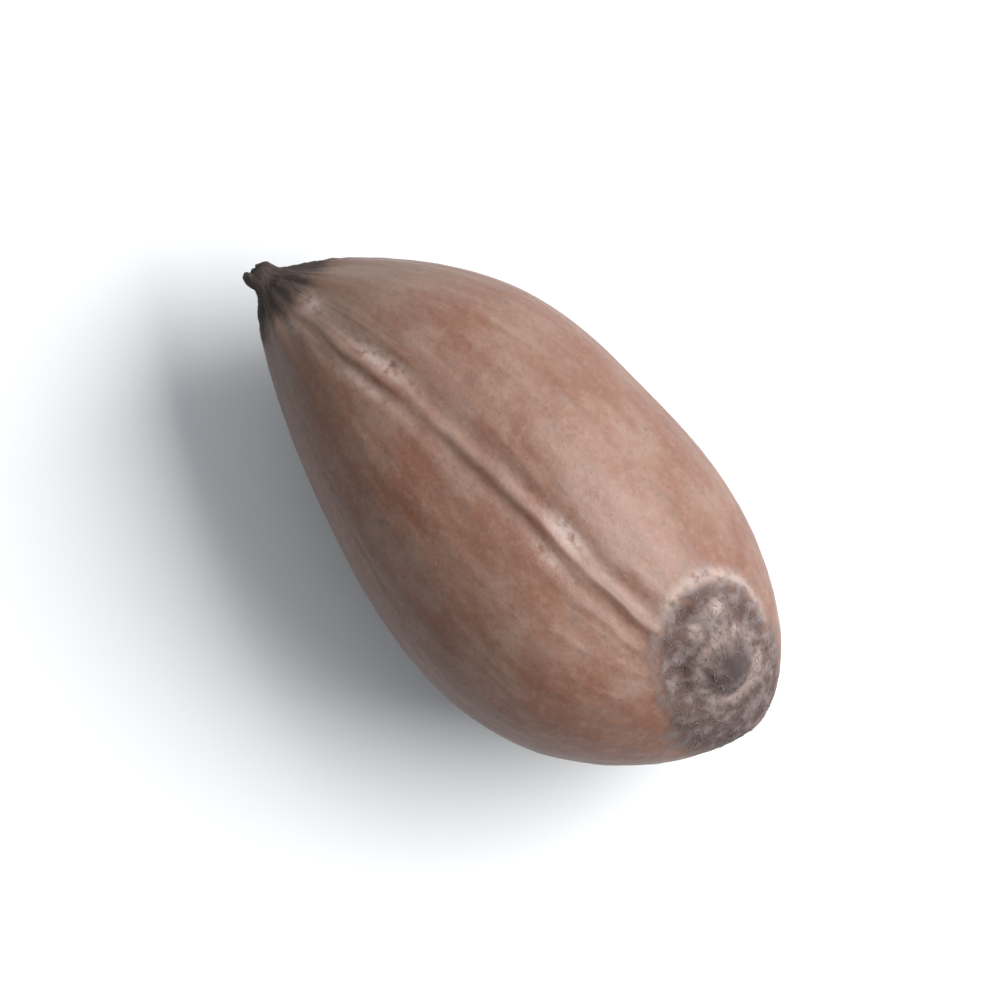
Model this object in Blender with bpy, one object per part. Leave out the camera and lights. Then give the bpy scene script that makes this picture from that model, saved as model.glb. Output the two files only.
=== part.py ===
"""A cotton seed with its lint taken off, lying on its back with the raphe up.

The seed is one grown piece, so it is one closed solid. Its surface is a grid of rings round the long
axis: a pear-shaped body, pointed at the hilum and round at the chalaza, with relief raised from it
by formulas.

Frame: +X runs from the pointed end to the round end, and +Z up through the raphe. The origin is on
the surface the seed rests on, under the middle of its bounding box. Units are metres.
"""

import math

import bmesh
import bpy
import numpy as np

MM = 0.001

# Body
SEED_LENGTH = 9.5 * MM
SEED_WIDTH = 5.1 * MM
SEED_THICKNESS = 4.6 * MM
BELLY_PLACE = 0.58  # share of the length, from the pointed end, where the seed is widest
POINT_TAPER = 0.75  # power of the taper: 1 is a cone, 0.5 a round end
ROUND_TAPER = 0.60
BACK_SHARE = 0.53  # share of the thickness below the centreline
SWAY = 0.22 * MM  # the centreline bends sideways into a slight S
TIP_LIFT = 0.15 * MM  # the pointed end stands a little above the middle

# Soft lengthwise edges, where seeds press on each other in the boll: (count, height, first angle)
SOFT_EDGES = ((4, 0.040 * MM, math.radians(38)), (7, 0.020 * MM, math.radians(-24)))

# Shallow dents: (waves along the seed, waves round it, depth, phase)
DENTS = ((2.0, 1, 0.030 * MM, 0.6), (3.5, 2, 0.022 * MM, 2.1), (5.0, 3, 0.014 * MM, 4.4))

# Hilum nib, the broken stub of the stalk that held the seed
BODY_START = 0.22 * MM  # the body's own point lies this far inside the nib's end
NIB_END_RADIUS = 0.19 * MM
NIB_ROOT_RADIUS = 0.34 * MM
NIB_LENGTH = 0.75 * MM
NIB_END_ROUNDING = 0.12 * MM
NIB_PIT_DEPTH = 0.09 * MM
NIB_LEAN = 0.07 * MM  # its end leans aside, away from the raphe's ridge
NIB_BLEND = 3.0  # power of the smooth join between nib and body
# Ragged edge of the broken end: (waves round it, depth, phase)
NIB_BREAKS = ((1, 0.040 * MM, 0.4), (2, 0.030 * MM, 0.9), (5, 0.015 * MM, 2.4))

# Raphe, the seam-like ridge from hilum to chalaza
RAPHE_RISE = 0.060 * MM
RAPHE_HALF_WIDTH = 0.13 * MM
RAPHE_ASIDE = 0.20 * MM
RAPHE_WANDER = 0.06 * MM
# What runs beside the ridge: (place beside it, height, half width)
RAPHE_FLANKS = (
    (-0.20 * MM, -0.070 * MM, 0.080 * MM),
    (-0.38 * MM, 0.025 * MM, 0.110 * MM),
    (0.26 * MM, -0.022 * MM, 0.120 * MM),
)
RAPHE_FROM = 0.30 * MM  # from the pointed end
RAPHE_TO = 7.85 * MM
RAPHE_FADE = 0.60 * MM

# Chalaza, the round scar where the raphe ends
CHALAZA_PLACE = 8.42 * MM  # from the pointed end
CHALAZA_ASIDE = 0.28 * MM
CHALAZA_RADIUS = 0.66 * MM
CHALAZA_UNEVENNESS = 0.12  # share by which the ring is longer one way than the other
CHALAZA_UNEVEN_PHASE = 0.5  # radians, turns the long way of the ring
CHALAZA_RIM_RISE = 0.070 * MM
CHALAZA_RIM_HALF_WIDTH = 0.16 * MM
CHALAZA_MOAT_DEPTH = 0.055 * MM  # deepest where the raphe comes in
CHALAZA_MOAT_OFFSET = 0.30 * MM  # outside the rim
CHALAZA_DISH_DEPTH = 0.120 * MM
CHALAZA_DISH_FLOOR = 0.2  # share of the radius over which the dish is flat
CHALAZA_BUTTON_RISE = 0.055 * MM
CHALAZA_BUTTON_RADIUS = 0.20 * MM

# Resting spot
REST_DEPTH = 0.13 * MM  # the back is flattened by this much where it rests

# Grid
RINGS = 84
SECTORS = 64
RAPHE_CROWDING = 0.80  # 0 spaces the sectors evenly, near 1 crowds them at the raphe
# Extra rings where the relief is finest: (how much denser, reach as a share of the length)
RINGS_AT_POINT = (2.5, 0.035)
RINGS_AT_CHALAZA = (1.4, 0.09)
RINGS_AT_ROUND_END = (6.0, 0.02)
RING_SAMPLES = 2001  # places along the seed at which the density is added up
DIFFERENCE_STEP = 1e-4  # step of the finite differences for normals, as a share of each range

# Seed coat finish
COAT_COLOUR = (0.270, 0.166, 0.125, 1.0)
COAT_ROUGHNESS = 0.55


def clear_scene():
    for obj in list(bpy.data.objects):
        bpy.data.objects.remove(obj, do_unlink=True)


def bell(distance, half_width):
    """1 at zero distance, falling smoothly to nothing a few half widths away."""
    return np.exp(-((distance / half_width) ** 2))


def smooth_step(value, start, end):
    """0 before start, 1 after end, with a smooth climb between."""
    share = np.clip((value - start) / (end - start), 0.0, 1.0)
    return share * share * (3.0 - 2.0 * share)


def body_profile(along):
    """Radius of the bare body as a share of its largest, at each distance from the pointed end."""
    share = (along - BODY_START) / (SEED_LENGTH - BODY_START)
    to_point = np.clip(1.0 - share / BELLY_PLACE, 0.0, 1.0)
    to_round = np.clip((share - BELLY_PLACE) / (1.0 - BELLY_PLACE), 0.0, 1.0)
    return (1.0 - to_point**2) ** POINT_TAPER * (1.0 - to_round**2) ** ROUND_TAPER


def nib_radius(along):
    """Radius of the stub at the pointed end, which runs on inside the body."""
    widening = np.clip(along / NIB_LENGTH, 0.0, 1.0)
    radius = NIB_END_RADIUS + (NIB_ROOT_RADIUS - NIB_END_RADIUS) * widening
    rounding = np.clip(1.0 - along / NIB_END_ROUNDING, 0.0, 1.0)
    fade = 1.0 - smooth_step(along, 0.0, 0.5 * SEED_LENGTH)
    return radius * np.sqrt(1.0 - 0.75 * rounding**2) * fade


def joined(body, nib):
    """The larger of two radii, with a smooth join where they are alike."""
    return (body**NIB_BLEND + nib**NIB_BLEND) ** (1.0 / NIB_BLEND)


def centreline(along):
    """Sideways place and height of the middle of the seed at each distance along it."""
    share = along / SEED_LENGTH
    sideways = SWAY * np.sin(2.0 * math.pi * share) - NIB_LEAN * np.exp(-along / NIB_LENGTH)
    height = BACK_SHARE * SEED_THICKNESS - REST_DEPTH + TIP_LIFT * (1.0 - share) ** 2
    return sideways, height


def raphe_line(along):
    """Sideways place of the raphe, which runs nearly straight and wanders a little."""
    share = along / SEED_LENGTH
    return RAPHE_ASIDE + RAPHE_WANDER * np.sin(2.0 * math.pi * (1.5 * share - 0.35))


def smooth_body(along, angle):
    """Points of the body without its fine relief. Angle is about the long axis, from +Z to +Y."""
    profile = body_profile(along)
    nib = nib_radius(along)
    side = joined(0.5 * SEED_WIDTH * profile, nib)
    front = joined((1.0 - BACK_SHARE) * SEED_THICKNESS * profile, nib)
    back = joined(BACK_SHARE * SEED_THICKNESS * profile, nib)
    up = np.cos(angle)
    depth = np.where(up > 0.0, front, back)
    swell = sum(rise * np.cos(count * (angle - first)) for count, rise, first in SOFT_EDGES)
    for waves, turns, rise, phase in DENTS:
        swell = swell + rise * np.sin(waves * math.pi * along / SEED_LENGTH + turns * angle + phase)
    swell = swell * profile
    sideways, height = centreline(along)
    ragged = sum(rise * np.sin(waves * angle + phase) for waves, rise, phase in NIB_BREAKS)
    return np.stack(
        [
            along + ragged * np.exp(-along / NIB_ROOT_RADIUS),
            sideways + (side + swell) * np.sin(angle),
            height + (depth + swell) * up,
        ],
        axis=-1,
    )


def outward_normals(along, angle):
    """Unit normals of the smooth body, by central differences."""
    step_along = DIFFERENCE_STEP * SEED_LENGTH
    step_angle = DIFFERENCE_STEP * 2.0 * math.pi
    ahead = np.minimum(along + step_along, SEED_LENGTH)
    behind = np.maximum(along - step_along, 0.0)
    lengthwise = smooth_body(ahead, angle) - smooth_body(behind, angle)
    round_it = smooth_body(along, angle + step_angle) - smooth_body(along, angle - step_angle)
    normals = np.cross(round_it, lengthwise)
    return normals / np.linalg.norm(normals, axis=-1, keepdims=True)


def raphe_relief(along, points, angle):
    """Height of the raphe ridge and of what runs beside it."""
    aside = points[..., 1] - raphe_line(along)
    ridge = RAPHE_RISE * bell(aside, RAPHE_HALF_WIDTH)
    for place, rise, half_width in RAPHE_FLANKS:
        ridge = ridge + rise * bell(aside - place, half_width)
    start = smooth_step(along, RAPHE_FROM, RAPHE_FROM + RAPHE_FADE)
    end = 1.0 - smooth_step(along, RAPHE_TO - RAPHE_FADE, RAPHE_TO)
    return np.where(np.cos(angle) > 0.0, ridge * start * end, 0.0)


def chalaza_relief(points):
    """Height of the scar's raised rim, the moat round it, its dish and the button in the middle."""
    along = np.array(CHALAZA_PLACE)
    sideways, _ = centreline(along)
    reach = 0.5 * SEED_WIDTH * body_profile(along)
    centre = smooth_body(along, np.arcsin((CHALAZA_ASIDE - sideways) / reach))
    offset = points - centre
    around = np.arctan2(offset[..., 1], offset[..., 0])
    uneven = 1.0 + CHALAZA_UNEVENNESS * np.sin(2.0 * around - CHALAZA_UNEVEN_PHASE)
    distance = np.linalg.norm(offset, axis=-1) * uneven
    rim = CHALAZA_RIM_RISE * bell(distance - CHALAZA_RADIUS, CHALAZA_RIM_HALF_WIDTH)
    moat_radius = CHALAZA_RADIUS + CHALAZA_MOAT_OFFSET
    moat = CHALAZA_MOAT_DEPTH * bell(distance - moat_radius, CHALAZA_RIM_HALF_WIDTH)
    moat = moat * 0.5 * (1.0 - np.cos(around))
    floor_radius = CHALAZA_DISH_FLOOR * CHALAZA_RADIUS
    dish = CHALAZA_DISH_DEPTH * (1.0 - smooth_step(distance, floor_radius, CHALAZA_RADIUS))
    button = CHALAZA_BUTTON_RISE * bell(distance, CHALAZA_BUTTON_RADIUS)
    return rim - moat - dish + button


def ring_places():
    """Distances of the rings from the pointed end, closest where the relief is finest."""
    share = np.linspace(0.0, 1.0, RING_SAMPLES)
    at_point, point_reach = RINGS_AT_POINT
    at_chalaza, chalaza_reach = RINGS_AT_CHALAZA
    at_round_end, round_end_reach = RINGS_AT_ROUND_END
    density = (
        1.0
        + at_point * np.exp(-share / point_reach)
        + at_chalaza * bell(share - CHALAZA_PLACE / SEED_LENGTH, chalaza_reach)
        + at_round_end * np.exp(-(1.0 - share) / round_end_reach)
    )
    count = np.concatenate([[0.0], np.cumsum(0.5 * (density[1:] + density[:-1]))])
    wanted = np.linspace(0.0, count[-1], RINGS + 1)[:-1]
    return SEED_LENGTH * np.interp(wanted, count, share)


def sector_angles(along):
    """Angles of the sectors, crowded on both sides of the raphe, for each ring."""
    turn = np.arange(SECTORS) / SECTORS
    crowded = 2.0 * math.pi * turn - RAPHE_CROWDING * np.sin(2.0 * math.pi * turn)
    sideways, _ = centreline(along)
    reach = joined(0.5 * SEED_WIDTH * body_profile(along), nib_radius(along))
    ridge = np.arcsin(np.clip((raphe_line(along) - sideways) / reach, -0.5, 0.5))
    return crowded[None, :] + ridge[:, None]


def seed_points():
    """Grid of surface points, and the two end points that close it."""
    rings = ring_places()
    angle = sector_angles(rings)
    along = np.broadcast_to(rings[:, None], angle.shape)
    points = smooth_body(along, angle)
    relief = raphe_relief(along, points, angle) + chalaza_relief(points)
    points = points + outward_normals(along, angle) * relief[..., None]
    pit = points[0].mean(axis=0) + np.array([NIB_PIT_DEPTH, 0.0, 0.0])
    sideways, height = centreline(np.array(SEED_LENGTH))
    tail = np.array([SEED_LENGTH, sideways, height])
    return points, pit, tail


def rest_on_ground(points):
    """Flattens the lowest stretch of the back at z = 0, and centres the seed on the origin."""
    points = points.copy()
    points[:, 2] = np.maximum(points[:, 2], 0.0)
    middle = 0.5 * (points.min(axis=0) + points.max(axis=0))
    points[:, :2] -= middle[:2]
    return points


def seed_mesh():
    grid, pit, tail = seed_points()
    points = rest_on_ground(np.concatenate([grid.reshape(-1, 3), [pit], [tail]]))
    shell = bmesh.new()
    corners = [shell.verts.new(point) for point in points]
    pit_corner, tail_corner = corners[-2], corners[-1]
    for ring in range(RINGS - 1):
        for sector in range(SECTORS):
            after = (sector + 1) % SECTORS
            first, second = ring * SECTORS, (ring + 1) * SECTORS
            shell.faces.new(
                (
                    corners[first + sector],
                    corners[first + after],
                    corners[second + after],
                    corners[second + sector],
                )
            )
    last = (RINGS - 1) * SECTORS
    for sector in range(SECTORS):
        after = (sector + 1) % SECTORS
        shell.faces.new((pit_corner, corners[after], corners[sector]))
        shell.faces.new((tail_corner, corners[last + sector], corners[last + after]))
    bmesh.ops.triangulate(shell, faces=shell.faces[:])
    bmesh.ops.recalc_face_normals(shell, faces=shell.faces[:])
    mesh = bpy.data.meshes.new("seed")
    shell.to_mesh(mesh)
    shell.free()
    mesh.shade_smooth()
    return mesh


def seed_coat_material():
    material = bpy.data.materials.new("seed_coat")
    material.use_nodes = True
    shader = material.node_tree.nodes["Principled BSDF"]
    shader.inputs["Base Color"].default_value = COAT_COLOUR
    shader.inputs["Roughness"].default_value = COAT_ROUGHNESS
    shader.inputs["Metallic"].default_value = 0.0
    return material


def add_seed():
    seed = bpy.data.objects.new("seed", seed_mesh())
    seed.data.materials.append(seed_coat_material())
    bpy.context.scene.collection.objects.link(seed)
    return seed


def main():
    clear_scene()
    add_seed()


main()
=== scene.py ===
"""A cotton seed with its lint taken off, on a pale table in soft daylight.

The seed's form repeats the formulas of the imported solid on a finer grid, with a lower raphe and
rim, and a pit in place of the scar's button. Masks tell where the raphe, the scar and the nib are.
Geometry Nodes raise the veins, wrinkles and crust, and grow the stubs of the last lint fibres.

Frame: metres, +X from the pointed end to the round end, +Z up through the raphe.
"""

import math

import bpy
import numpy as np
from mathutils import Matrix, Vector


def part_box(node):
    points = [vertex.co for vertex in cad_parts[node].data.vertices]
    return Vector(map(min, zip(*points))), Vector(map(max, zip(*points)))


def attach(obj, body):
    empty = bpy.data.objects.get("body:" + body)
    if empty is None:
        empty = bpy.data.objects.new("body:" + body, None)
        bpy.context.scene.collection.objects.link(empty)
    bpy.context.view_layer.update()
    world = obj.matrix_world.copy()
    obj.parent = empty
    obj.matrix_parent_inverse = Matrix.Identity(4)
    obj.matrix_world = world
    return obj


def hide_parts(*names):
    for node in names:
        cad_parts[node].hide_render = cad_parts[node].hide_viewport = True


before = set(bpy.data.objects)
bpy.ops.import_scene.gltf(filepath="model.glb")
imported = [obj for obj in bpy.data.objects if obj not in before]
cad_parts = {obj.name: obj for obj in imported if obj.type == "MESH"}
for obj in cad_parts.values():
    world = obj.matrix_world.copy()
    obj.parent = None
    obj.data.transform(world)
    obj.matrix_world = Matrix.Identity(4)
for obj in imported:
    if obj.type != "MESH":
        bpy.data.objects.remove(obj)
CAD_LOW, CAD_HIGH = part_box("seed")
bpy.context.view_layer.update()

bl_info = {
    "name": "Cotton seed",
    "version": (1, 0, 0),
    "blender": (4, 5, 0),
    "location": "View3D > Sidebar > Cotton Seed",
    "description": "Builds a cotton seed with its lint taken off, and the table it lies on",
    "category": "Object",
}

MM = 0.001

# Body, as in the solid
BELLY_PLACE = 0.58  # share of the length, from the pointed end, where the seed is widest
POINT_TAPER = 0.75  # power of the taper: 1 is a cone, 0.5 a round end
ROUND_TAPER = 0.60
BACK_SHARE = 0.53  # share of the thickness below the centreline
SWAY = 0.22 * MM
TIP_LIFT = 0.15 * MM
REST_DEPTH = 0.13 * MM
SOFT_EDGES = ((4, 0.040 * MM, math.radians(38)), (7, 0.020 * MM, math.radians(-24)))
DENTS = ((2.0, 1, 0.030 * MM, 0.6), (3.5, 2, 0.022 * MM, 2.1), (5.0, 3, 0.014 * MM, 4.4))

# Nib, as in the solid
BODY_START = 0.22 * MM
NIB_END_RADIUS = 0.19 * MM
NIB_ROOT_RADIUS = 0.34 * MM
NIB_LENGTH = 0.75 * MM
NIB_END_ROUNDING = 0.12 * MM
NIB_END_NARROWING = 0.75  # share of its cross-section that the rounding takes off at the very end
NIB_FADE_SHARE = 0.5  # share of the length by which the nib has ended inside the body
NIB_PIT_DEPTH = 0.09 * MM
NIB_LEAN = 0.07 * MM
NIB_BLEND = 3.0
NIB_BREAKS = ((1, 0.040 * MM, 0.4), (2, 0.030 * MM, 0.9), (5, 0.015 * MM, 2.4))

# Raphe, lower than in the solid, as the painted shade in its groove and the pale spots and painted
# highlight on its crest and lip help to show it
RAPHE_HALF_WIDTH = 0.13 * MM
RAPHE_ASIDE = 0.20 * MM
RAPHE_WANDER = 0.06 * MM
RAPHE_WANDER_WAVES = 1.5  # over the length of the seed
RAPHE_WANDER_START = 0.35  # share of a wave
RAPHE_JITTER = 0.030 * MM
RAPHE_JITTER_WAVES = ((4.0, 0.3), (7.0, 1.9), (12.0, 4.0))
# What runs beside the ridge: (place beside it, height, half width)
RAPHE_FLANKS = (
    (-0.20 * MM, -0.028 * MM, 0.075 * MM),
    (-0.38 * MM, 0.016 * MM, 0.110 * MM),
    (0.26 * MM, -0.008 * MM, 0.120 * MM),
)
RAPHE_FROM = 0.30 * MM
RAPHE_TO = 7.85 * MM
RAPHE_FADE = 0.60 * MM
RAPHE_LEAST = 0.25  # share of its height that it has without a mark

# Chalaza, as in the solid but with a lower rim and no button
CHALAZA_PLACE = 8.42 * MM
CHALAZA_ASIDE = 0.28 * MM
CHALAZA_UNEVENNESS = 0.12
CHALAZA_UNEVEN_PHASE = 0.5
CHALAZA_RIM_HALF_WIDTH = 0.16 * MM
CHALAZA_MOAT_DEPTH = 0.055 * MM
CHALAZA_MOAT_OFFSET = 0.30 * MM
CHALAZA_DISH_DEPTH = 0.120 * MM
CHALAZA_DISH_FLOOR = 0.2  # share of the radius over which the dish is flat

# The dark places set where the groove's painted shade is strongest, the pale places where the crest and
# lip carry pale spots and painted highlight; both raise the ridge.
# Marks along the raphe, as (distance from the pointed end, half length, strength)
PALE_PLACES = ((0.98 * MM, 0.15 * MM, 0.8), (2.25 * MM, 0.45 * MM, 1.0), (5.70 * MM, 0.32 * MM, 1.0))
DARK_PLACES = ((1.60 * MM, 0.90 * MM, 0.5), (4.50 * MM, 1.10 * MM, 0.9), (6.90 * MM, 0.60 * MM, 1.0))
FAINT_SHARE = 0.15  # strength of the marks between those places
LIP_ASIDE = -0.40 * MM
LIP_HALF_WIDTH = 0.10 * MM
LIP_STRENGTH = 0.6  # against the crest's 1
GRAIN_RADIUS = 2.5 * MM  # radius on which the lengthwise pattern is laid out, up to the belly

# Crust and marks of the scar, which the solid doesn't have
CRUST_REACH = 1.30 * MM  # from the middle of the chalaza
CRUST_FADE = (0.55, 1.05)  # shares of its reach between which it fades
CRUST_STRETCH = 0.65  # share by which it reaches further over the round end
CRUST_STRETCH_TOWARDS = (0.68, -0.22, -0.70)  # over the round end and down, of length about 1
CRUST_STRETCH_POWER = 1.5  # a larger one makes the longer side narrower
LEAST_DISTANCE = 1e-9  # metres, so that nothing is divided by zero
EDGE_RADIUS = 1.06 * MM  # of the pale edge on the side towards the raphe
EDGE_HALF_WIDTH = 0.09 * MM
EDGE_SIDE = math.radians(150)
EDGE_STRENGTH = 0.85  # of its colour, where it is palest
PIT_OFFSET = (0.20 * MM, 0.05 * MM)  # of the scar's pit from the middle of the chalaza
PIT_RADIUS = 0.29 * MM
PIT_DEPTH = 0.050 * MM
PIT_RING_RADIUS = 0.50 * MM
PIT_RING_HALF_WIDTH = 0.11 * MM
PIT_RING_RISE = 0.026 * MM
PIT_RING_PALENESS = 0.52
# Single bumps and hollows of the scar, as (distance from the pointed end, side, radius)
SCAR_BUMPS = ((7.92 * MM, 0.82 * MM, 0.17 * MM), (7.92 * MM, 0.36 * MM, 0.15 * MM))
SCAR_BUMP_RISE = 0.030 * MM
SCAR_BUMP_PALENESS = 0.75
SCAR_HOLLOWS = ((7.66 * MM, 0.58 * MM, 0.15 * MM), (7.74 * MM, 0.06 * MM, 0.17 * MM))
SCAR_HOLLOW_DEPTH = 0.045 * MM

# Folds behind the nib, and how far the masks of the pointed end reach
PUCKER_COUNT = 13
PUCKER_BUNCHES = 3.0  # the folds stand closer together in this many places
PUCKER_BUNCHING = 1.5  # radians by which they shift there
PUCKER_PHASE = 1.0
PUCKER_FROM = 0.30 * MM  # from the pointed end
PUCKER_TO = 1.90 * MM
NIB_REACH = 1.05 * MM
NIB_FULL_SHARE = 0.45  # share of that reach over which the mask is full
TIP_REACH = 3.20 * MM
TIP_FULL_SHARE = 0.25
BARE_FROM = 0.4 * MM  # the bare coat's veins and wrinkles begin here
BARE_TO = 2.0 * MM

RELIEF_HEIGHTS = ("vein", "wrinkle", "grit", "pucker", "crust", "nib")

# Finish of the coat, typical of dry wood, with less gloss
COAT_ROUGHNESS = (0.43, 0.58)  # without bloom, and under the thickest bloom
ROUGHNESS_OF_CRUST = 0.35  # added where the coat is crusty, and on the nib
COAT_IOR = 1.5
COAT_SPECULAR = 0.42
NOISE_ROUGHNESS = 0.6
FINE_SIZE = 0.07 * MM  # of the finest unevenness, drawn coarser than it is so that it shows
FINE_DEPTH = 0.010 * MM
FINE_STRENGTH = 0.5
VEIN_STEEPNESS = 9.0

# Finish and form of the fibre stubs
FIBRE_ROUGHNESS = 0.75
FIBRE_IOR = 1.53
FIBRE_SHADE = 0.70  # of the darkest fibres against the palest
FIBRE_PATCH = 0.25 * MM
STUB_CRUST = (0.55, 0.95)  # crust at which the first stubs stand, and where they are thickest
STUB_BEND = 0.35  # share of its length by which a stub's end leans over
STUB_TAPER = 0.4  # thickness of its end against its root
STUB_ROOT = 0.01 * MM  # depth of the root in the coat
STUB_TILT = (1.30, 1.58)  # radians from upright, so that stubs lie nearly flat
STUB_SCALE = (0.4, 1.0)  # size of the smallest and of the largest stubs

# Stage
FLOOR_COLOUR = "d8dce0"
FLOOR_ROUGHNESS = 0.9
FLOOR_SPECULAR = 0.2
WINDOW_SIZE = (0.120, 0.085)
WINDOW_PLACE = (0.052, 0.076, 0.091)
WINDOW_AIM = (0.0, 0.0, 0.002)
WINDOW_COLOUR = (1.0, 0.97, 0.94)
SKY_COLOUR = (0.97, 0.985, 1.0, 1.0)
SKY_BRIGHTEST = (0.0, 0.6, 0.8)  # direction in which the room is brightest
SKY_RANGE = (0.0, 0.9)  # how nearly a direction points there where it is darkest and brightest
SKY_DARKEST = 0.10  # against the brightest
SENSOR_WIDTH = 36.0
CLIP_RANGE = (0.001, 10.0)

# Grid of the dressed seed
RINGS = 290
SECTORS = 330
RAPHE_CROWDING = 0.60
RAPHE_LIMIT = 0.5  # of the half width, as far aside as the crowded sectors follow the raphe
# Extra rings where the relief is finest: (how much denser, reach as a share of the length)
RINGS_AT_POINT = (2.5, 0.05)
RINGS_AT_CHALAZA = (2.4, 0.10)
RINGS_AT_ROUND_END = (6.0, 0.02)
RING_SAMPLES = 4001  # places along the seed at which the density is added up
DIFFERENCE_STEP = 1e-4  # of the differences for normals, as a share of each range

# Inputs and output of a Mix node set to colours
MIX_FACTOR = 0
MIX_UNDER = 6
MIX_OVER = 7
MIX_RESULT = 2


def linear_colour(hex_value):
    """Linear colour, with alpha, of an sRGB hex value such as "8a6a58"."""
    channels = []
    for start in (0, 2, 4):
        share = int(hex_value[start : start + 2], 16) / 255.0
        channels.append(share / 12.92 if share <= 0.04045 else ((share + 0.055) / 1.055) ** 2.4)
    return (*channels, 1.0)


def bell(distance, half_width):
    """1 at zero distance, falling smoothly to nothing a few half widths away."""
    return np.exp(-((distance / half_width) ** 2))


def smooth_step(value, start, end):
    """0 before start, 1 after end, with a smooth climb between."""
    share = np.clip((value - start) / (end - start), 0.0, 1.0)
    return share * share * (3.0 - 2.0 * share)


def colour_setting(label, description, hex_value):
    """Property that holds a colour, given as an sRGB hex value."""
    return bpy.props.FloatVectorProperty(
        name=label,
        description=description,
        default=linear_colour(hex_value),
        size=4,
        min=0.0,
        max=1.0,
        subtype="COLOR",
    )


def size_setting(label, description, default, precision=5, **limits):
    """Property that holds a length, shown with that many decimals, within limits if given."""
    return bpy.props.FloatProperty(
        name=label,
        description=description,
        default=default,
        precision=precision,
        unit="LENGTH",
        **limits,
    )


class SeedShape(bpy.types.PropertyGroup):
    """Sizes of the seed's body and of its relief."""

    length: size_setting("Length", "From the nib's end to the round end", 9.5 * MM, min=1.0 * MM)
    width: size_setting("Width", "Across the belly", 5.1 * MM)
    thickness: size_setting("Thickness", "From back to raphe, before the back is flattened", 4.6 * MM)
    raphe_rise: size_setting("Raphe rise", "Height of the ridge where its marks are", 0.028 * MM)
    chalaza_radius: size_setting("Chalaza radius", "Radius of the scar's raised rim", 0.66 * MM)
    chalaza_rise: size_setting("Chalaza rim rise", "Height of the scar's raised rim", 0.038 * MM)


class SeedColours(bpy.types.PropertyGroup):
    """Colours of the coat, the nib, the scar and the fibre stubs."""

    coat: colour_setting("Coat", "Brown of the bare seed coat", "6f4c3d")
    warm: colour_setting("Warm patches", "Redder brown that shows where the bloom is thin", "6e4a3d")
    bloom: colour_setting("Bloom", "Grey dusty film over the coat", "826c61")
    vein: colour_setting("Veins", "Dark streaks that run from end to end", "4d352b")
    # Painted shade: this colour darkens the raphe's groove, and the gaps between the scar's lumps and
    # its hollows.
    groove: colour_setting("Raphe groove", "Dark line beside the ridge", "46312a")
    crust: colour_setting("Crust", "Tops of the rough lumps round the scar", "665a58")
    nib: colour_setting("Nib", "Dark broken stub at the pointed end", "2b2220")
    # Beside the raphe this colour gives the crest and lip their pale spots and also paints the highlight
    # that they catch.
    skin: colour_setting("Pale skin", "Pale remains beside the raphe and at the scar's edge", "998882")
    tip: colour_setting("Pointed end", "Greyer brown of the coat near the nib", "5f544b")
    # In the scar's pit this colour is laid again, as painted shade.
    scar: colour_setting("Scar", "Grey-brown ground of the chalaza and its pit", "342c2d")
    fibre: colour_setting("Fibre stubs", "Last cotton fibres round the scar", "76696a")


class CoatRelief(bpy.types.PropertyGroup):
    """Heights of the coat's fine relief."""

    vein: size_setting("Veins", "Rise of the veins", 0.007 * MM, 6)
    wrinkle: size_setting("Wrinkles", "Rise of the broad, soft wrinkles", 0.050 * MM, 6)
    grit: size_setting("Grit", "Rise of the unevenness that the fibre bases leave", 0.012 * MM, 6)
    pucker: size_setting("Puckers", "Rise of the folds that run back from the nib", 0.020 * MM, 6)
    crust: size_setting("Crust", "Rise of the lumps round the scar", 0.065 * MM, 6)
    nib: size_setting("Nib", "Roughness of the nib", 0.120 * MM, 6)
    seed: bpy.props.FloatProperty(name="Seed", description="Changes the pattern", default=3.0)


class StubSizes(bpy.types.PropertyGroup):
    """Number and size of the fibre stubs."""

    density: bpy.props.FloatProperty(
        name="Stubs per mm²", description="Where the stubs stand thickest", default=200.0, min=0.0
    )
    length: size_setting("Length", "Length of the longest stubs", 0.10 * MM)
    radius: size_setting("Radius", "Half the thickness of a fibre at its root", 0.0065 * MM, 6)
    seed: bpy.props.IntProperty(name="Seed", description="Changes where the stubs stand", default=7)


class StageSettings(bpy.types.PropertyGroup):
    """Floor, light and camera."""

    floor_size: size_setting("Floor size", "Side of the pale table", 1.6, 2)
    daylight: bpy.props.FloatProperty(
        name="Daylight", description="Power of the window light", default=0.355, unit="POWER"
    )
    sky: bpy.props.FloatProperty(
        name="Sky", description="Strength of the light from overhead", default=0.87
    )
    lens: bpy.props.FloatProperty(
        name="Lens", description="Focal length in millimetres", default=200.0, unit="CAMERA"
    )
    distance: size_setting("Camera height", "From the floor to the camera", 0.080, 2)
    turn: bpy.props.FloatProperty(
        name="Camera turn",
        description="Turns the picture so that the seed lies as in the photograph",
        default=math.radians(42.2),
        subtype="ANGLE",
    )


def add_node(tree, kind, settings=None, inputs=None):
    """Adds a node, sets its properties, and gives each input a value or a link from a socket."""
    node = tree.nodes.new(kind)
    for name, value in (settings or {}).items():
        setattr(node, name, value)
    for name, value in (inputs or {}).items():
        socket = node.inputs[name]
        if isinstance(value, bpy.types.NodeSocket):
            tree.links.new(value, socket)
        else:
            socket.default_value = value
    return node


def set_inputs(node, values):
    """Gives a node's inputs plain values."""
    for name, value in values.items():
        node.inputs[name].default_value = value


def body_profile(shape, along):
    """Radius of the bare body as a share of its largest, at each distance from the pointed end."""
    share = (along - BODY_START) / (shape.length - BODY_START)
    to_point = np.clip(1.0 - share / BELLY_PLACE, 0.0, 1.0)
    to_round = np.clip((share - BELLY_PLACE) / (1.0 - BELLY_PLACE), 0.0, 1.0)
    return (1.0 - to_point**2) ** POINT_TAPER * (1.0 - to_round**2) ** ROUND_TAPER


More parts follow.
